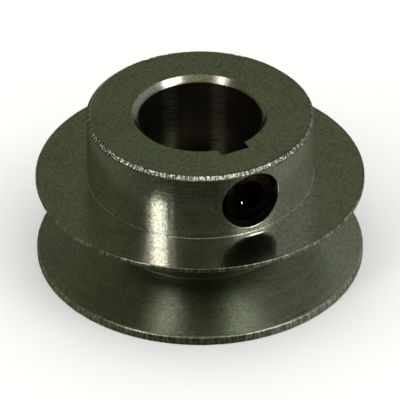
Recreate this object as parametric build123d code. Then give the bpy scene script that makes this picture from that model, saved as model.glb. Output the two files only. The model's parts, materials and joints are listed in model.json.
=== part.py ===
from build123d import *
import os
from math import radians, sqrt, tan

# Single-groove V-belt pulley for a keyed shaft, with a radial set screw in its hub.
# All sizes are in millimetres. Z is the shaft axis. The lower flange's outer face
# lies on Z = 0 and the hub points up. The keyway and the screw hole face -Y.

INCH = 25.4

# Pulley
outside_diameter = 2 * INCH
bore_diameter = 3 / 4 * INCH
hub_wall = 5 / 16 * INCH  # from the bore to the hub's outside
groove_wall = 3 / 16 * INCH  # from the bore to the groove's bottom
bore_chamfer = 0.9
hub_edge_chamfer = 0.5
rim_edge_break = 0.12
hub_corner_radius = 0.2

# Belt groove and the rims on each side of it
groove_width = 0.485 * INCH
groove_angle = 30
groove_corner_radius = 0.4
upper_rim_width = 0.025 * INCH
lower_rim_width = 0.0525 * INCH

# Keyway
keyway_width = 3 / 16 * INCH
keyway_depth = 2.21
keyway_corner_radius = 0.15

# Set screw
thread_diameter = 3 / 8 * INCH
thread_pitch = INCH / 16
screw_length = 1 / 4 * INCH
socket_across_flats = 3 / 16 * INCH
socket_web = 0.8  # metal left on the screw's axis between the socket and the cup
cup_diameter = 5.1
drill_angle = 118
screw_head_chamfer = 0.55

# Tapped hole, and how the screw sits in it
thread_clearance = 0.05
screw_side_wall = 1 / 32 * INCH  # hub metal above and below the thread
countersink_step = 0.2  # how far the mouth stands out past the thread
countersink_angle = 82
screw_to_shaft_gap = 0.2

# Worked out from the sizes above
outside_radius = outside_diameter / 2
bore_radius = bore_diameter / 2
hub_radius = bore_radius + hub_wall
groove_bottom_radius = bore_radius + groove_wall
groove_bottom = lower_rim_width
groove_top = groove_bottom + groove_width
face_width = groove_top + upper_rim_width
groove_narrowing = (outside_radius - groove_bottom_radius) * tan(radians(groove_angle / 2))
thread_radius = thread_diameter / 2
hub_projection = thread_diameter + 2 * screw_side_wall
overall_length = face_width + hub_projection
screw_height = face_width + hub_projection / 2

# The inch thread's form: the angle between its flanks, and its flats as shares of the pitch
FLANK_ANGLE = 60
CREST_FLAT = 1 / 8
ROOT_FLAT = 1 / 6

MARGIN = 1.0  # how far a cutter runs past the surface that it cuts
STANDING = (Align.CENTER, Align.CENTER, Align.MIN)
HANGING = (Align.CENTER, Align.CENTER, Align.MAX)


def pulley_outline():
    """Half section of the turned blank: X is the radius and Y is the height."""
    bore_edge = bore_radius + bore_chamfer
    chamfered_hub = hub_radius - hub_edge_chamfer
    chamfered_rim = outside_radius - rim_edge_break
    points = [
        (bore_edge, 0),
        (chamfered_rim, 0),
        (outside_radius, rim_edge_break),
        (outside_radius, groove_bottom),
        (groove_bottom_radius, groove_bottom + groove_narrowing),
        (groove_bottom_radius, groove_top - groove_narrowing),
        (outside_radius, groove_top),
        (outside_radius, face_width - rim_edge_break),
        (chamfered_rim, face_width),
        (hub_radius, face_width),
        (hub_radius, overall_length - hub_edge_chamfer),
        (chamfered_hub, overall_length),
        (bore_edge, overall_length),
        (bore_radius, overall_length - bore_chamfer),
        (bore_radius, bore_chamfer),
    ]
    section = make_face(Polyline(*points, close=True))
    section = fillet(corners_at(section, points[4:6]), groove_corner_radius)
    return fillet(corners_at(section, points[9:10]), hub_corner_radius)


def corners_at(section, points):
    """The corners of a flat section that lie at the given points."""
    near = 1e-6
    return [v for v in section.vertices() if any((Vector(*p) - v.center()).length < near for p in points)]


def keyway_cutter():
    """The keyway's floor is keyway_depth beyond the bore's wall, through the whole length."""
    reach = bore_radius + keyway_depth
    slot = Rectangle(keyway_width, reach, align=(Align.CENTER, Align.MAX))
    slot = fillet(slot.vertices().group_by(Axis.Y)[0], keyway_corner_radius)
    return Pos(0, 0, -MARGIN) * extrude(slot, overall_length + 2 * MARGIN)


def screw_hole_cutter():
    """Tapped hole through the hub's wall towards -Y, with a countersunk mouth."""
    reach = hub_radius + MARGIN
    hole = Cylinder(thread_radius + thread_clearance, reach, align=STANDING)
    mouth_radius = thread_radius + countersink_step + MARGIN * tan(radians(countersink_angle / 2))
    return along_screw() * (hole + Pos(0, 0, reach) * drill_point(mouth_radius, countersink_angle))


def drill_point(radius, angle):
    """A cone with its point down and its base on Z = 0."""
    return Cone(0, radius, cone_height(radius, angle), align=HANGING)


def cone_height(radius, angle):
    return radius / tan(radians(angle / 2))


def along_screw():
    """Places a shape built along +Z so that it points out along the screw hole."""
    return Pos(0, 0, screw_height) * Rot(90, 0, 0)


def pulley_body():
    blank = revolve(Plane.XZ * pulley_outline(), Axis.Z)
    return blank - keyway_cutter() - screw_hole_cutter()


def thread_grooves():
    """The thread's roots, as one ring for each turn of the real helix."""
    slope = tan(radians(FLANK_ANGLE / 2))
    floor = ROOT_FLAT * thread_pitch / 2
    mouth = (1 - CREST_FLAT) * thread_pitch / 2
    depth = (mouth - floor) / slope
    outline = Polyline(
        (thread_radius - depth, -floor),
        (thread_radius - depth, floor),
        (thread_radius + MARGIN, mouth + MARGIN * slope),
        (thread_radius + MARGIN, -mouth - MARGIN * slope),
        close=True,
    )
    ring = revolve(Plane.XZ * make_face(outline), Axis.Z)
    turns = int(screw_length / thread_pitch)
    return [Pos(0, 0, (turn + 0.5) * thread_pitch) * ring for turn in range(turns)]


def set_screw():
    """Socket set screw with a cup point, made with its tip on Z = 0 and its socket end up."""
    cup_radius = cup_diameter / 2
    cup_depth = cone_height(cup_radius, drill_angle)
    socket_radius = socket_across_flats / 2
    socket_floor = cup_depth + socket_web + cone_height(socket_radius, drill_angle)
    points = [
        (0, cup_depth),
        (cup_radius, 0),
        (thread_radius, thread_radius - cup_radius),
        (thread_radius, screw_length - screw_head_chamfer),
        (thread_radius - screw_head_chamfer, screw_length),
        (0, screw_length),
    ]
    blank = revolve(Plane.XZ * make_face(Polyline(*points, close=True)), Axis.Z)
    hexagon = extrude(RegularPolygon(socket_radius, 6, major_radius=False), screw_length)
    socket = Pos(0, 0, socket_floor) * (hexagon + drill_point(socket_radius, drill_angle))
    screw = blank - thread_grooves() - socket
    return along_screw() * Pos(0, 0, bore_radius + screw_to_shaft_gap) * screw


os.makedirs("parts", exist_ok=True)
for name, make in {"pulley_body": pulley_body, "set_screw": set_screw}.items():
    export_step(make(), f"parts/{name}.step")
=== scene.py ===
import json
from math import ceil, cos, floor, pi, radians, sin, sqrt, tan

import bmesh
import bpy
from mathutils import Matrix, Vector, noise


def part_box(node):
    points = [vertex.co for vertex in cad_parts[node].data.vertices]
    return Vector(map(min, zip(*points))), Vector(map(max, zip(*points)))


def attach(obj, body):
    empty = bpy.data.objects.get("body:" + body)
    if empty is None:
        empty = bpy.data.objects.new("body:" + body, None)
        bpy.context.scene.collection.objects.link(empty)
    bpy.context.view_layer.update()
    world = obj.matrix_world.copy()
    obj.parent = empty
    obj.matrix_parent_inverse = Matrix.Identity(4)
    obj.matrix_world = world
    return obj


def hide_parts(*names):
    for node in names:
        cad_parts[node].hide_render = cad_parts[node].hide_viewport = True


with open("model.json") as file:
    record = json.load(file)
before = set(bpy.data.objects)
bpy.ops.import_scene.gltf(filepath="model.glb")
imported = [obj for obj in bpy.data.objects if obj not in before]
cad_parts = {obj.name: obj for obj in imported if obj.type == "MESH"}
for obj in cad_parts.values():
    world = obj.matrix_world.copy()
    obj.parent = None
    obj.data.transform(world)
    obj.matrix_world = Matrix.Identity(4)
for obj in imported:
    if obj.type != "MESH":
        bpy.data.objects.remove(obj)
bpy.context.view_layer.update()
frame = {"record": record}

# ---------------------------------------------------------------- sizes, in millimetres

MM = 0.001


def mount(name):
    return next(m for m in frame["record"]["mounts"] if m["name"] == name)


def box_mm(node):
    low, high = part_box(node)
    return Vector(low) / MM, Vector(high) / MM


pulley_low, pulley_high = box_mm("pulley_body")
screw_low, screw_high = box_mm("set_screw")

outside_radius = (pulley_high.x - pulley_low.x) / 2
overall_length = pulley_high.z
bore_radius = mount("shaft_bore")["dims"]["r_mm"]
bore_chamfer = (overall_length - mount("shaft_bore")["dims"]["length_mm"]) / 2
thread_radius = (screw_high.x - screw_low.x) / 2
screw_height = (screw_high.z + screw_low.z) / 2
screw_tip = -screw_high.y  # distance from the shaft's axis
screw_end = -screw_low.y
face_width = 2 * screw_height - overall_length

hub_wall = 7.9375  # from the bore to the hub's outside
hub_radius = bore_radius + hub_wall
hub_edge_chamfer = 0.5
web_wall = 4.7625  # from the bore to the groove's bottom
groove_bottom_radius = bore_radius + web_wall
groove_width = 12.319
groove_angle = 30.0
groove_narrowing = (outside_radius - groove_bottom_radius) * tan(radians(groove_angle / 2))
lower_rim_width = 1.3335

bore_edge_radius = 0.06
hub_edge_radius = 0.08
hub_corner_radius = 0.18
rim_edge_radius = 0.14
worn_rim_radius = 0.5  # the edge that a belt has rubbed
groove_corner_radius = 0.4

keyway_width = 4.7625
keyway_floor = bore_radius + 2.21
keyway_corner_radius = 0.2

thread_pitch = 1.5875
crest_flat = thread_pitch / 8
root_flat = thread_pitch / 6
flank_slope = tan(radians(30))
thread_gap = 0.03  # between the screw's flanks and the tapped thread's, each side
tapped_crest_radius = 4.0
mouth_break = 0.09  # width of the worn edge round the screw hole's mouth

cup_radius = 2.55
cup_edge_radius = 0.05
drill_slope = tan(radians(118 / 2))
socket_radius = 2.38125
socket_web = 0.8  # left between the cup and the socket
socket_clearance = 0.02  # keeps the drill point off the hexagon's flats
socket_mouth_depth = 0.3
socket_mouth_inset = 0.55  # from the hexagon's corners in to the bottom of the mouth's cone
socket_mouth_flare = 0.12  # from them out to the top of its cutter, apart from the overrun
screw_head_chamfer = 0.55
screw_edge_radius = 0.08

burr_depth = 1.8  # below the screw's outer end
burr_offset = 0.171  # from the middle of its flat
burr_half_width = 0.06
burr_outline = [(-0.09, -0.06), (0.2, -0.06), (-0.09, 0.24)]

RING_STEPS = 480  # segments round the pulley
THREAD_STEPS = 72  # segments round the thread
ARC_STEP = 15  # degrees of a rounded corner in one segment
ARC_MARGIN = 0.03  # length of the straight bit on each side of a rounded corner
OVERRUN = 1.0  # how far a cutter runs past the surface that it cuts
SAME_POINT = 1e-5  # points closer than this are one point
SLIVER = 2e-6  # edges shorter than this are dropped, in metres
SHARP_DEGREES = 24  # edges that turn more than this aren't shaded smooth

NICKED_RIM, NICKED_UPPER_RIM, NICKED_HUB = 0.2, 0.7, 0.6  # how far in from each edge the nicks reach
NICKS_ROUND, NICKS_UP = 140, 2.5  # how fast the nicks vary round the shaft's axis and along it
COARSE_NICKS = 0.17  # how fast the coarse nicks vary, next to the fine ones
FINE_NICK, COARSE_NICK = 0.035, 0.04  # depths for a noise of 1

# ---------------------------------------------------------------- mesh making


def new_object(name, vertices, faces):
    """A closed mesh, still in millimetres, with its faces turned outwards."""
    mesh = bpy.data.meshes.new(name)
    mesh.from_pydata(vertices, [], faces)
    shape = bmesh.new()
    shape.from_mesh(mesh)
    bmesh.ops.remove_doubles(shape, verts=shape.verts, dist=SAME_POINT)
    bmesh.ops.recalc_face_normals(shape, faces=shape.faces)
    if shape.calc_volume(signed=True) < 0:
        bmesh.ops.reverse_faces(shape, faces=shape.faces)
    shape.to_mesh(mesh)
    shape.free()
    made = bpy.data.objects.new(name, mesh)
    bpy.context.scene.collection.objects.link(made)
    return made


def rounded(corners):
    """A closed outline from (x, y, radius) corners. Each corner with a radius becomes an arc between
    two straight bits, which keep the shading of the long sides flat."""
    outline = []
    count = len(corners)
    for i, (x, y, radius) in enumerate(corners):
        here = Vector((x, y))
        if not radius:
            outline.append(here)
            continue
        before = (Vector(corners[i - 1][:2]) - here).normalized()
        after = (Vector(corners[(i + 1) % count][:2]) - here).normalized()
        half = before.angle(after) / 2
        centre = here + (before + after).normalized() * radius / sin(half)
        length = radius / tan(half)
        start = here + before * length - centre
        end = here + after * length - centre
        turn = start.angle_signed(end)
        steps = max(3, round(abs(turn) / radians(ARC_STEP)))
        outline.append(here + before * (length + ARC_MARGIN))
        for step in range(steps + 1):
            angle = -turn * step / steps
            outline.append(centre + Vector((
                start.x * cos(angle) - start.y * sin(angle),
                start.x * sin(angle) + start.y * cos(angle),
            )))
        outline.append(here + after * (length + ARC_MARGIN))
    return outline


def revolved(name, outline, steps, shape=lambda radius, height, angle: radius):
    """Turns a closed (radius, height) outline about Z. shape may change the radius of a point."""
    vertices, faces = [], []
    size = len(outline)
    for i in range(steps):
        angle = 2 * pi * i / steps
        for radius, height in outline:
            shaped = shape(radius, height, angle)
            vertices.append((shaped * cos(angle), shaped * sin(angle), height))
        for j in range(size):
            a, b = i * size, (i + 1) % steps * size
            k = (j + 1) % size
            if outline[j][0] or outline[k][0]:
                faces.append((a + j, b + j, b + k, a + k))
    return new_object(name, vertices, faces)


def prism(name, outline, low, high):
    """A closed (x, y) outline, raised along Z from low to high."""
    size = len(outline)
    vertices = [(x, y, z) for z in (low, high) for x, y in outline]
    faces = [(i, (i + 1) % size, size + (i + 1) % size, size + i) for i in range(size)]
    faces += [tuple(range(size)), tuple(range(size, 2 * size))]
    return new_object(name, vertices, faces)


def threaded_rod(name, low, high, crest_radius, root_radius, flat):
    """A closed rod along Z with a right-hand 60 degree thread. Any two rods' threads are in step."""
    flank = (crest_radius - root_radius) * flank_slope
    profile = [
        (-flat / 2 - flank, root_radius),
        (-flat / 2, crest_radius),
        (flat / 2, crest_radius),
        (flat / 2 + flank, root_radius),
    ]
    size, steps = len(profile), THREAD_STEPS
    first = floor(low / thread_pitch) - 1
    rows = size * (ceil(high / thread_pitch) + 2 - first)
    vertices, faces = [], []
    for i in range(steps):
        angle = 2 * pi * i / steps
        for j in range(rows):
            height, radius = profile[j % size]
            lift = (first + j // size + i / steps) * thread_pitch
            vertices.append((radius * cos(angle), radius * sin(angle), lift + height))
        for j in range(rows - 1):
            a, b = i * rows + j, (i + 1) * rows + j
            if i == steps - 1:
                b = j + size
            if b + 1 < rows or i < steps - 1:
                faces.append((a, b, b + 1, a + 1))
    last = (steps - 1) * rows
    bottom = [i * rows for i in range(steps)] + [j for j in range(size, 0, -1)]
    top = [(i + 1) * rows - 1 for i in range(steps)]
    top += [last + rows - 1 - j for j in range(1, size + 1)]
    for rim, height in ((bottom, first - 1), (top, first + rows // size + 2)):
        tip = len(vertices)
        vertices.append((0, 0, height * thread_pitch))
        faces += [(tip, rim[k], rim[(k + 1) % len(rim)]) for k in range(len(rim))]
    return new_object(name, vertices, faces)


def combine(target, tool, operation="DIFFERENCE"):
    """Cuts the tool out of the target, keeps what both share or joins them, and deletes the tool."""
    change = target.modifiers.new(operation, "BOOLEAN")
    change.operation, change.solver, change.object = operation, "EXACT", tool
    change.material_mode = "TRANSFER"
    graph = bpy.context.evaluated_depsgraph_get()
    mesh = bpy.data.meshes.new_from_object(target.evaluated_get(graph))
    target.modifiers.clear()
    target.data = mesh
    bpy.data.objects.remove(tool)
    return target


def along_screw(shape):
    """Turns a shape made along +Z so that it points out along the screw hole, towards -Y."""
    shape.data.transform(Matrix.Translation((0, 0, screw_height)) @ Matrix.Rotation(pi / 2, 4, "X"))
    return shape


def finished(shape, name):
    """Scales a shape to metres, drops slivers and marks its sharp edges."""
    shape.name = shape.data.name = name
    shape.data.transform(Matrix.Scale(MM, 4))
    mesh = bmesh.new()
    mesh.from_mesh(shape.data)
    bmesh.ops.dissolve_degenerate(mesh, edges=mesh.edges, dist=SLIVER)
    bmesh.ops.recalc_face_normals(mesh, faces=mesh.faces)
    for face in mesh.faces:
        face.smooth = True
    for edge in mesh.edges:
        edge.smooth = edge.is_manifold and edge.calc_face_angle() < radians(SHARP_DEGREES)
    mesh.to_mesh(shape.data)
    mesh.free()
    return shape


# ---------------------------------------------------------------- pulley


def pulley_outline():
    """Half of the pulley's section. Each corner is (radius, height, corner radius)."""
    bore_edge = bore_radius + bore_chamfer
    groove_top = lower_rim_width + groove_width
    return rounded([
        (bore_edge, 0, bore_edge_radius),
        (outside_radius, 0, rim_edge_radius),
        (outside_radius, lower_rim_width, worn_rim_radius),
        (groove_bottom_radius, lower_rim_width + groove_narrowing, groove_corner_radius),
        (groove_bottom_radius, groove_top - groove_narrowing, groove_corner_radius),
        (outside_radius, groove_top, rim_edge_radius),
        (outside_radius, face_width, rim_edge_radius),
        (hub_radius, face_width, hub_corner_radius),
        (hub_radius, overall_length - hub_edge_chamfer, hub_edge_radius),
        (hub_radius - hub_edge_chamfer, overall_length, hub_edge_radius),
        (bore_edge, overall_length, bore_edge_radius),
        (bore_radius, overall_length - bore_chamfer, bore_edge_radius),
        (bore_radius, bore_chamfer, bore_edge_radius),
    ])


def keyway_outline():
    half = keyway_width / 2
    return rounded([
        (-half, 0, 0),
        (-half, -keyway_floor, keyway_corner_radius),
        (half, -keyway_floor, keyway_corner_radius),
        (half, 0, 0),
    ])


def mouth_edge():
    """A cutter that takes the corner off the screw hole's mouth all round, following the hub's curve,
    and below it a cone that leads into the thread. Its faces carry the worn and the tapped material."""
    inner_radius = tapped_crest_radius - OVERRUN / 2
    rings = [
        (thread_radius + mouth_break + OVERRUN, OVERRUN),
        (thread_radius, -mouth_break),
        (inner_radius, inner_radius - thread_radius - mouth_break),
    ]
    steps, size = 2 * THREAD_STEPS, len(rings)
    vertices = [(0, 0, hub_radius - 3 * OVERRUN), (0, 0, hub_radius + 3 * OVERRUN)]
    faces = []
    for i in range(steps):
        angle = 2 * pi * i / steps
        surface = sqrt(hub_radius**2 - (thread_radius * cos(angle)) ** 2)
        vertices += [(r * cos(angle), r * sin(angle), surface + lift) for r, lift in rings]
        a, b = 2 + size * i, 2 + size * ((i + 1) % steps)
        faces += [(a, b, b + 1, a + 1), (1, b, a), (a + 1, b + 1, b + 2, a + 2), (a + 2, b + 2, 0)]
    edge = new_object("mouth_edge", vertices, faces)
    edge.data.materials.append(worn_edge())
    edge.data.materials.append(tapped_steel())
    for face in edge.data.polygons:
        nearest = min(Vector(edge.data.vertices[i].co[:2]).length for i in face.vertices)
        face.material_index = int(nearest < thread_radius - SAME_POINT)
    return edge


def nicked(radius, height, angle):
    """Takes tiny nicks out of the rims and the hub's top edge. The noise depends on the place alone."""
    at_rim_height = height < lower_rim_width + NICKED_RIM or height > face_width - NICKED_UPPER_RIM
    on_rim = radius > outside_radius - NICKED_RIM and at_rim_height
    on_hub = radius > hub_radius - NICKED_HUB and height > overall_length - NICKED_HUB
    if not (on_rim or on_hub):
        return radius
    spot = Vector((cos(angle), sin(angle), 0)) * NICKS_ROUND + Vector((0, 0, height * NICKS_UP))
    fine, coarse = noise.noise(spot), noise.noise(spot * COARSE_NICKS)
    return radius - FINE_NICK * max(0.0, fine + 0.1) - COARSE_NICK * max(0.0, coarse - 0.15)


def pulley():
    """The turned body, with its keyway and its screw hole: a worn mouth and a real thread."""
    body = revolved("pulley", pulley_outline(), RING_STEPS, nicked)
    body.data.materials.append(turned_zinc())
    keyway = prism("keyway", keyway_outline(), -OVERRUN, overall_length + OVERRUN)
    keyway.data.materials.append(broached_steel())
    combine(body, keyway)
    combine(body, along_screw(mouth_edge()))
    hole_start = 0.3 * bore_radius  # in the open bore
    cut_radius = thread_radius + thread_gap
    cut_flat = crest_flat + 2 * thread_gap - 2 * thread_gap * flank_slope
    thread = along_screw(threaded_rod(
        "thread", hole_start, hub_radius + OVERRUN, cut_radius, tapped_crest_radius, cut_flat
    ))
    thread.data.materials.append(bpy.data.materials["tapped_steel"])
    combine(body, thread)
    return finished(body, "pulley_body_turned")


# ---------------------------------------------------------------- set screw


def set_screw():
    """A cup point set screw with a hexagon socket, made along +Z with its tip down."""
    length = screw_end - screw_tip
    cup_depth = cup_radius / drill_slope
    blank_radius = thread_radius + OVERRUN / 4
    blank = revolved("set_screw", rounded([
        (0, cup_depth, 0),
        (cup_radius, 0, cup_edge_radius),
        (blank_radius, blank_radius - cup_radius, 0),
        (blank_radius, length - screw_head_chamfer - OVERRUN / 4, 0),
        (thread_radius - screw_head_chamfer, length, screw_edge_radius),
        (0, length, 0),
    ]), 2 * THREAD_STEPS)
    blank.data.transform(Matrix.Translation((0, 0, screw_tip)))
    blank.data.materials.append(black_oxide())
    cut_socket(blank, screw_tip + cup_depth + socket_web + socket_radius / drill_slope)
    combine(blank, burr(), "UNION")
    root_radius = thread_radius - (thread_pitch - crest_flat - root_flat) / 2 / flank_slope
    combine(blank, threaded_rod(
        "thread", screw_tip - OVERRUN, screw_end + OVERRUN, thread_radius, root_radius, crest_flat
    ), "INTERSECT")
    return finished(along_screw(blank), "set_screw_socket")


def cut_socket(blank, floor_height):
    """Cuts the hexagon, the drill point below it and the cone at its mouth."""
    corner = socket_radius / cos(pi / 6)
    hexagon = [Vector((corner * cos(k * pi / 3), corner * sin(k * pi / 3))) for k in range(6)]
    combine(blank, prism("socket", hexagon, floor_height, screw_end + OVERRUN))
    drill_radius = socket_radius - socket_clearance
    combine(blank, revolved("drill_point", [
        Vector((0, floor_height - drill_radius / drill_slope)),
        Vector((drill_radius, floor_height)),
        Vector((drill_radius, floor_height + OVERRUN)),
        Vector((0, floor_height + OVERRUN)),
    ], THREAD_STEPS))
    mouth_top = screw_end + 0.8 * OVERRUN
    combine(blank, revolved("socket_mouth", [
        Vector((0, screw_end - OVERRUN)),
        Vector((corner - socket_mouth_inset, screw_end - socket_mouth_depth)),
        Vector((corner + socket_mouth_flare + OVERRUN, mouth_top)),
        Vector((0, mouth_top)),
    ], THREAD_STEPS))


def burr():
    """A bright burr on one of the socket's flats, which gives the glint in the photo's dark hole."""
    wedge = prism("burr", burr_outline, -burr_half_width, burr_half_width)
    turn = Matrix.Rotation(-pi / 2, 4, "Y")
    place = Matrix.Translation((-burr_offset, -socket_radius, screw_end - burr_depth))
    wedge.data.transform(place @ turn)
    wedge.data.materials.append(bare_steel())
    return wedge


# ---------------------------------------------------------------- shader nodes


def rgba(color):
    """A colour for a socket: red, green and blue get an alpha, and a node's output stays as it is."""
    return color if isinstance(color, bpy.types.NodeSocket) else (*color, 1)


class Nodes:
    """Adds nodes to a tree. Each call returns the output that the next one takes."""

    def __init__(self, tree):
        self.tree = tree

    def feed(self, socket, value):
        if isinstance(value, bpy.types.NodeSocket):
            self.tree.links.new(value, socket)
        else:
            socket.default_value = value

    def node(self, kind, sockets, output=0, **settings):
        """Adds a node. sockets has its inputs by name or number, and output is a name or number too."""
        made = self.tree.nodes.new("ShaderNode" + kind)
        for name, value in settings.items():
            setattr(made, name, value)
        for key, value in sockets.items():
            self.feed(made.inputs[key], value)
        return made.outputs[output]

    def math(self, operation, *values):
        return self.node("Math", dict(enumerate(values)), operation=operation)

    def plus(self, first, second):
        return self.math("ADD", first, second)

    def minus(self, first, second):
        return self.math("SUBTRACT", first, second)

    def times(self, first, second):
        return self.math("MULTIPLY", first, second)

    def larger(self, first, second):
        return self.math("MAXIMUM", first, second)

    def outside(self, mask):
        """1 where a mask is 0, and 0 where it is 1."""
        return self.minus(1.0, mask)

    def ramp(self, value, low, high, start=0.0, end=1.0):
        """From start where the value is low to end where it is high, and level beyond them."""
        sockets = {"Value": value, "From Min": low, "From Max": high, "To Min": start, "To Max": end}
        return self.node("MapRange", sockets)

    def noise(self, vector, scale, detail=2.0, rough=0.5):
        sockets = {"Vector": vector, "Scale": scale, "Detail": detail, "Roughness": rough}
        return self.node("TexNoise", sockets)

    def mix(self, factor, first, second):
        """A colour between two: the first where the factor is 0, and the second where it is 1."""
        sockets = {0: factor, 6: rgba(first), 7: rgba(second)}
        return self.node("Mix", sockets, output=2, data_type="RGBA")

    def join(self, x, y, z):
        return self.node("CombineXYZ", {"X": x, "Y": y, "Z": z})

    def split(self, vector):
        return self.node("SeparateXYZ", {"Vector": vector}).node.outputs

    def bump(self, height, distance, strength=1.0, normal=None):
        """Raises the surface by up to distance, in metres, on top of the bumps in normal."""
        sockets = {"Height": height, "Distance": distance, "Strength": strength}
        if normal is not None:
            sockets["Normal"] = normal
        return self.node("Bump", sockets)

    def point(self):
        return self.node("TexCoord", {}, output="Object")

    def place(self):
        """A point's distance from the shaft's axis and its height, in millimetres, and its angle round
        the axis, in radians."""
        x, y, z = self.split(self.point())
        radius = self.math("SQRT", self.plus(self.times(x, x), self.times(y, y)))
        return self.math("DIVIDE", radius, MM), self.math("DIVIDE", z, MM), self.math("ARCTAN2", y, x)

    def near_ring(self, radius, height, ring_radius, ring_height, reach):
        """1 on a ring round the shaft's axis, falling to 0 at about reach from it, in millimetres."""
        across = self.minus(radius, ring_radius)
        along = self.minus(height, ring_height)
        squares = self.plus(self.times(across, across), self.times(along, along))
        return self.ramp(self.math("SQRT", squares), reach * 1.2, reach * 0.8)

    def near_angle(self, angle, degrees, reach):
        """1 at an angle round the shaft's axis, falling to 0 at reach degrees from it."""
        away = self.math("ABSOLUTE", self.minus(angle, radians(degrees)))
        return self.ramp(away, radians(reach), radians(reach) * 0.3)


class Material(Nodes):
    """A material on the Principled shader, metal unless metallic is 0."""

    def __init__(self, name, color, roughness, metallic=1.0):
        self.made = bpy.data.materials.new(name)
        self.made.use_nodes = True
        super().__init__(self.made.node_tree)
        self.use({"Base Color": rgba(color), "Roughness": roughness, "Metallic": metallic})

    def use(self, sockets):
        """Sets or links the shader's own sockets, and gives back the material."""
        shader = self.tree.nodes["Principled BSDF"]
        for name, value in sockets.items():
            self.feed(shader.inputs[name], value)
        return self.made


# ---------------------------------------------------------------- materials

ZINC = (0.63, 0.66, 0.57)
ZINC_LIGHT = (0.72, 0.74, 0.67)
ZINC_DARK = (0.53, 0.56, 0.47)
ZINC_WARM = (0.70, 0.59, 0.50)
ZINC_COOL = (0.52, 0.66, 0.56)
GRAIN_DARK = (0.2, 0.2, 0.15)
GRAIN_LIGHT = (0.95, 0.95, 0.86)
# Painted shade at the bottom of the groove
GROOVE_PAINTED_SHADE = (0.3, 0.31, 0.24)
CHATTER_DARK = (0.16, 0.15, 0.11)
CHATTER_LIGHT = (0.95, 0.94, 0.90)
BORE_DARK = (0.28, 0.235, 0.185)
# Painted shade, low in the bore
BORE_PAINTED_SHADE = (0.05, 0.043, 0.033)
# Painted reflections of the lamps, on the bore
BORE_PAINTED_REFLECTION = (0.95, 0.88, 0.72)
# Brown towards the top of the screw
TOP_BROWN = (0.085, 0.048, 0.028)

REFLECTION_ANGLES = (93, 45)  # where the lamps' reflections are painted bright on the bore, in degrees from +X
REFLECTION_REACH = 10


def turned_zinc():
    """Turned steel under thin zinc: fine rings round the shaft's axis, cloudy plating, a dark bore with
    painted shade and painted reflections of the lamps, painted shade at the groove's bottom, and bright
    edges with chatter marks across them."""
    metal = Material("turned_zinc", ZINC, 0.2)
    point = metal.point()
    radius, height, angle = metal.place()
    feed_lines = metal.noise(metal.join(radius, height, metal.times(angle, 0.2)), 9.0, 2.0, 0.65)
    bands = metal.noise(metal.join(radius, height, 0.0), 1.6, 3.0, 0.6)
    cloud = metal.noise(point, 130.0, 5.0, 0.65)
    grain = metal.noise(point, 2900.0, 2.0, 0.7)
    chatter_across = metal.times(metal.minus(radius, height), 0.25)
    chatter = metal.noise(metal.join(metal.times(angle, 30.0), chatter_across, 0.0), 1.6, 2.0, 0.7)

    # Masks: each is 1 on its own part of the surface and 0 on the rest.
    in_bore = metal.ramp(radius, bore_radius + 0.3, bore_radius + 0.05)
    on_rims = metal.ramp(radius, outside_radius - 0.25, outside_radius - 0.12)
    on_hub_edge = metal.near_ring(radius, height, hub_radius - 0.25, overall_length - 0.25, 0.4)
    on_edges = metal.larger(on_rims, on_hub_edge)
    below_flange = metal.math("LESS_THAN", height, face_width - 0.2)
    below_flange = metal.times(below_flange, metal.outside(on_rims))
    below_flange = metal.times(below_flange, metal.outside(in_bore))
    # Painted shade: darker at the bottom of the groove, below the flange and outside the bore
    groove_shade = metal.ramp(radius, groove_bottom_radius + 0.9, groove_bottom_radius + 0.2)
    groove_shade = metal.times(groove_shade, metal.math("LESS_THAN", height, face_width - 0.1))
    groove_shade = metal.times(groove_shade, metal.outside(in_bore))

    color = plating_color(metal, point, cloud, bands, grain)
    # The bore's colour holds painted shade low down and painted reflections of the lamps
    color = metal.mix(in_bore, color, bore_color(metal, height, angle))
    # Paints shade into the groove's bottom
    color = metal.mix(groove_shade, color, GROOVE_PAINTED_SHADE)
    dull = metal.ramp(chatter, 0.52, 0.42, 0.0, 0.85)
    dull = metal.times(dull, metal.minus(on_edges, metal.times(on_rims, 0.35)))
    bright = metal.times(on_edges, metal.ramp(chatter, 0.52, 0.62))
    color = metal.mix(dull, color, CHATTER_DARK)
    color = metal.mix(bright, color, CHATTER_LIGHT)

    rough = metal.ramp(bands, 0.3, 0.7, 0.13, 0.19)
    rough = metal.plus(rough, metal.ramp(cloud, 0.3, 0.7, 0.0, 0.07))
    for mask, more in ((on_rims, 0.14), (in_bore, 0.1), (below_flange, 0.055), (groove_shade, 0.2)):
        rough = metal.plus(rough, metal.times(mask, more))

    normal = metal.bump(feed_lines, 0.008 * MM, 0.5)
    normal = metal.bump(grain, 0.01 * MM, 0.5, normal)
    chatter_depth = metal.minus(on_edges, metal.times(on_rims, 0.86))
    normal = metal.bump(metal.times(chatter, chatter_depth), 0.35 * MM, 1.0, normal)

    around = metal.node("Tangent", {}, direction_type="RADIAL", axis="Z")
    metal.use({"Anisotropic": 0.45, "Anisotropic Rotation": 0.25, "Tangent": around})
    return metal.use({"Base Color": color, "Roughness": rough, "Normal": normal})


def plating_color(metal, point, cloud, bands, grain):
    """Zinc in clouds, with patches of warm and cool tint, lighter bands and a fine grain."""
    tint = metal.noise(point, 850.0, 3.0, 0.6)
    color = metal.mix(metal.ramp(cloud, 0.35, 0.68), ZINC_DARK, ZINC)
    color = metal.mix(metal.ramp(tint, 0.5, 0.68, 0.0, 0.85), color, ZINC_WARM)
    color = metal.mix(metal.ramp(tint, 0.5, 0.34, 0.0, 0.85), color, ZINC_COOL)
    color = metal.mix(metal.ramp(bands, 0.55, 0.85), color, ZINC_LIGHT)
    color = metal.mix(metal.ramp(grain, 0.36, 0.5, 0.5, 0.0), color, GRAIN_DARK)
    return metal.mix(metal.ramp(grain, 0.52, 0.66, 0.0, 0.4), color, GRAIN_LIGHT)


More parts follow.
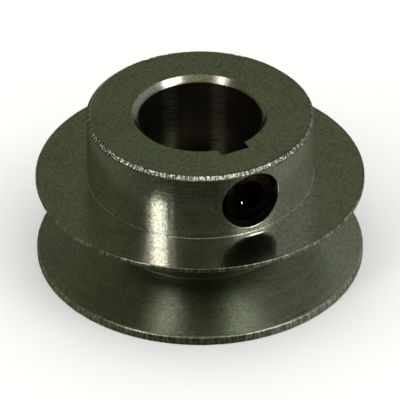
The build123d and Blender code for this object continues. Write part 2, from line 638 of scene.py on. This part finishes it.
def bore_color(metal, height, angle):
    """Dark steel, with painted shade that makes it darkest in the lower half, and painted reflections
    of the lamps in bright patches along the shaft.
    """
    first, second = (metal.near_angle(angle, degrees, REFLECTION_REACH) for degrees in REFLECTION_ANGLES)
    unrolled = metal.join(metal.times(angle, 3.0), metal.times(height, 2.2), 0.0)
    patches = metal.noise(unrolled, 1.4, 3.0, 0.7)
    # Painted reflections of the lamps: bright patches at two angles round the bore
    painted_reflections = metal.times(metal.larger(first, second), metal.ramp(patches, 0.35, 0.65))
    # Painted shade: the bore is darker towards its bottom
    low_shade = metal.ramp(height, 0.62 * overall_length, 0.45 * overall_length)
    return metal.mix(painted_reflections, metal.mix(low_shade, BORE_DARK, BORE_PAINTED_SHADE), BORE_PAINTED_REFLECTION)


def worn_edge():
    """The rubbed edge of the screw hole: plating worn thin and bright."""
    metal = Material("worn_edge", ZINC_LIGHT, 0.25)
    rub = metal.noise(metal.point(), 1400.0, 3.0)
    return metal.use({
        "Base Color": metal.mix(metal.ramp(rub, 0.35, 0.65), ZINC_DARK, ZINC_LIGHT),
        "Roughness": metal.ramp(rub, 0.3, 0.7, 0.2, 0.4),
        "Normal": metal.bump(rub, 0.04 * MM, 0.6),
    })


def broached_steel():
    """A keyway's walls: straight marks along the shaft, left by the broach, and dark with oil."""
    metal = Material("broached_steel", BORE_DARK, 0.4)
    point = metal.point()
    x, y, z = metal.split(point)
    marks = metal.noise(metal.join(x, y, metal.times(z, 0.02)), 9000.0)
    cloud = metal.noise(point, 220.0, 3.0)
    return metal.use({
        "Base Color": metal.mix(metal.ramp(cloud, 0.35, 0.7), (0.07, 0.06, 0.045), (0.13, 0.12, 0.09)),
        "Roughness": metal.ramp(cloud, 0.3, 0.7, 0.35, 0.5),
        "Normal": metal.bump(marks, 0.02 * MM, 0.5),
    })


def tapped_steel():
    """The tapped thread: oily steel, painted almost black as painted shade inside the screw hole."""
    metal = Material("tapped_steel", (0.06, 0.045, 0.032), 0.4)
    point = metal.point()
    stain = metal.noise(point, 420.0, 4.0)
    tears = metal.noise(point, 4000.0)
    # Painted shade: the thread's colour is almost black inside the screw hole
    color = metal.mix(metal.ramp(stain, 0.35, 0.6), (0.018, 0.012, 0.008), (0.010, 0.009, 0.007))
    return metal.use({
        "Base Color": color,
        "Specular Tint": (0.35, 0.3, 0.25, 1),
        "Roughness": metal.ramp(stain, 0.3, 0.7, 0.32, 0.5),
        "Normal": metal.bump(tears, 0.02 * MM, 0.4),
    })


def black_oxide():
    """Black oxide on steel: almost black with a warm cast, brighter where worn and browner high up."""
    metal = Material("black_oxide", (0.02, 0.018, 0.016), 0.35)
    point = metal.point()
    wear = metal.noise(point, 700.0, 5.0, 0.6)
    grain = metal.noise(point, 6000.0)
    height = metal.math("DIVIDE", metal.split(point)[2], MM)
    high_up = metal.ramp(height, screw_height + 1.0, screw_height + 3.5)
    # Browner towards the top of the screw
    brown_top = metal.times(high_up, metal.ramp(wear, 0.35, 0.6))
    color = metal.mix(metal.ramp(wear, 0.55, 0.78), (0.006, 0.0055, 0.005), (0.02, 0.017, 0.014))
    return metal.use({
        "Base Color": metal.mix(brown_top, color, TOP_BROWN),
        "Specular Tint": (0.25, 0.23, 0.2, 1),
        "Roughness": metal.ramp(wear, 0.3, 0.7, 0.25, 0.42),
        "Normal": metal.bump(grain, 0.01 * MM, 0.4),
    })


def bare_steel():
    """Freshly cut steel, where the oxide is scratched off."""
    metal = Material("bare_steel", (0.9, 0.9, 0.87), 0.2)
    scratch = metal.noise(metal.point(), 9000.0)
    return metal.use({"Roughness": metal.ramp(scratch, 0.3, 0.7, 0.15, 0.3)})


def floor_paint():
    paint = Material("floor_paint", (0.82, 0.82, 0.81), 0.6, metallic=0.0)
    speckle = paint.noise(paint.point(), 60.0, 3.0)
    return paint.use({"Base Color": paint.mix(speckle, (0.80, 0.80, 0.79), (0.84, 0.84, 0.83))})


# ---------------------------------------------------------------- stage, lights and camera

CAMERA_AZIMUTH = -27.0
CAMERA_ELEVATION = 35.15
CAMERA_DISTANCE = 0.7085
CAMERA_LENS = 412.8
FRAMING_HEIGHT = 0.01283  # height of the point on the shaft's axis that the framing starts from
FRAMING_DROP = 0.00313  # how far below that point the camera looks, across its view

FLOOR_REACH, FLOOR_DEPTH, DOME_RADIUS = 1500.0, 10.0, 2900.0  # in millimetres
DOME_STEPS = 24  # segments of the dome from its bottom to its top
DOME_GLOW = 1.15
DOME_COLOR = (1.0, 1.0, 0.99, 1)

LIGHT_DISTANCE = 0.6
ROOM_DARK = 0.073
ROOM_BRIGHT = 0.26  # to the camera's right
ROOM_OVERHEAD = 0.22
ROOM_LEFT = 0.05
ROOM_FRONT_SHADE = 0.72  # the share of the room's light that is missing behind the camera
ROOM_OLIVE = (0.92, 1.0, 0.62)
ROOM_PALE = (1.0, 1.0, 0.94)


def direction(azimuth, elevation):
    """The way to a place seen from the object. Azimuth 0 is -Y, and grows towards +X."""
    turn, rise = radians(azimuth), radians(elevation)
    return Vector((sin(turn) * cos(rise), -cos(turn) * cos(rise), sin(rise)))


def aim(thing, spot):
    """Turns a camera or a lamp so that it faces a spot."""
    thing.rotation_mode = "QUATERNION"
    thing.rotation_quaternion = (spot - thing.location).to_track_quat("-Z", "Y")


def camera():
    """The photo's camera, with its view and framing."""
    data = bpy.data.cameras.new("camera")
    data.lens, data.sensor_width = CAMERA_LENS, 36.0
    data.clip_start, data.clip_end = 0.01, 10.0
    made = bpy.data.objects.new("camera", data)
    bpy.context.scene.collection.objects.link(made)
    middle = Vector((0, 0, FRAMING_HEIGHT))
    up = direction(CAMERA_AZIMUTH + 180, 90 - CAMERA_ELEVATION)
    made.location = middle + direction(CAMERA_AZIMUTH, CAMERA_ELEVATION) * CAMERA_DISTANCE
    aim(made, middle - up * FRAMING_DROP)
    bpy.context.scene.camera = made


def soft_light(name, azimuth, elevation, width, height, radiance, color=(1, 1, 1)):
    """A rectangle of light aimed at the object. Its azimuth is counted from the camera's."""
    data = bpy.data.lights.new(name, "AREA")
    data.shape, data.size, data.size_y, data.color = "RECTANGLE", width, height, color
    data.energy = radiance * width * height * pi
    lamp = bpy.data.objects.new(name, data)
    bpy.context.scene.collection.objects.link(lamp)
    centre = Vector((0, 0, overall_length * MM / 2))
    lamp.location = centre + direction(CAMERA_AZIMUTH + azimuth, elevation) * LIGHT_DISTANCE
    lamp.visible_camera = False
    aim(lamp, centre)


def toward(nodes, azimuth, elevation, low, high):
    """0 to 1 as a world's ray turns to a place. The azimuth is counted from the camera's, and low and
    high are cosines of the angle between them."""
    spot = tuple(direction(CAMERA_AZIMUTH + azimuth, elevation))
    way = nodes.node("TexCoord", {}, output="Generated")
    near = nodes.node("VectorMath", {0: way, 1: spot}, output="Value", operation="DOT_PRODUCT")
    sockets = {"Value": near, "From Min": low, "From Max": high}
    return nodes.node("MapRange", sockets, interpolation_type="SMOOTHSTEP")


def room():
    """What the metal mirrors: a dim olive room, brighter to the camera's right and darker behind it."""
    world = bpy.data.worlds.new("room")
    world.use_nodes = True
    nodes = Nodes(world.node_tree)
    rightward = toward(nodes, 95, 15, -0.1, 1.0)
    level = nodes.math("MULTIPLY_ADD", rightward, ROOM_BRIGHT - ROOM_DARK, ROOM_DARK)
    shade = nodes.math("MULTIPLY_ADD", toward(nodes, 0, 5, 0.45, 0.85), -ROOM_FRONT_SHADE, 1.0)
    level = nodes.times(level, shade)
    level = nodes.plus(level, nodes.times(toward(nodes, 10, 78, 0.72, 0.98), ROOM_OVERHEAD))
    level = nodes.plus(level, nodes.times(toward(nodes, -112, 0, 0.45, 0.95), ROOM_LEFT))
    tone = nodes.mix(toward(nodes, 95, 15, 0.2, 0.9), ROOM_OLIVE, ROOM_PALE)
    background = world.node_tree.nodes["Background"]
    nodes.feed(background.inputs["Strength"], level)
    nodes.feed(background.inputs["Color"], tone)
    bpy.context.scene.world = world


def dome_light():
    made = bpy.data.materials.new("dome_light")
    made.use_nodes = True
    made.node_tree.nodes.clear()
    nodes = Nodes(made.node_tree)
    glow = nodes.node("Emission", {"Color": DOME_COLOR, "Strength": DOME_GLOW})
    nodes.feed(made.node_tree.nodes.new("ShaderNodeOutputMaterial").inputs["Surface"], glow)
    return made


def stage():
    """A pale floor under a pale dome. Neither shows in the metal, which mirrors the room instead."""
    corners = [(-FLOOR_REACH, -FLOOR_REACH), (FLOOR_REACH, -FLOOR_REACH),
               (FLOOR_REACH, FLOOR_REACH), (-FLOOR_REACH, FLOOR_REACH)]
    floor_slab = prism("floor", corners, -FLOOR_DEPTH, 0.0)
    floor_slab.data.materials.append(floor_paint())
    slopes = [pi * (k / DOME_STEPS - 0.5) for k in range(DOME_STEPS + 1)]
    half_circle = [Vector((DOME_RADIUS * cos(slope), DOME_RADIUS * sin(slope))) for slope in slopes]
    dome = revolved("dome", half_circle, 2 * DOME_STEPS)
    dome.data.materials.append(dome_light())
    for piece in (floor_slab, dome):
        piece.data.transform(Matrix.Scale(MM, 4))
        piece.visible_glossy = False
    dome.visible_shadow = False


# ---------------------------------------------------------------- the scene

camera()
room()
stage()
soft_light("left_box", -42.5, 42, 0.11, 0.23, 6.2, (1.0, 0.92, 0.95))
soft_light("right_box", 58, 49, 0.26, 0.14, 4.2)
bpy.context.scene.view_settings.view_transform = "Standard"

body = pulley()
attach(body, "pulley")
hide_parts("pulley_body")

screw = set_screw()
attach(screw, "screw")
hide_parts("set_screw")
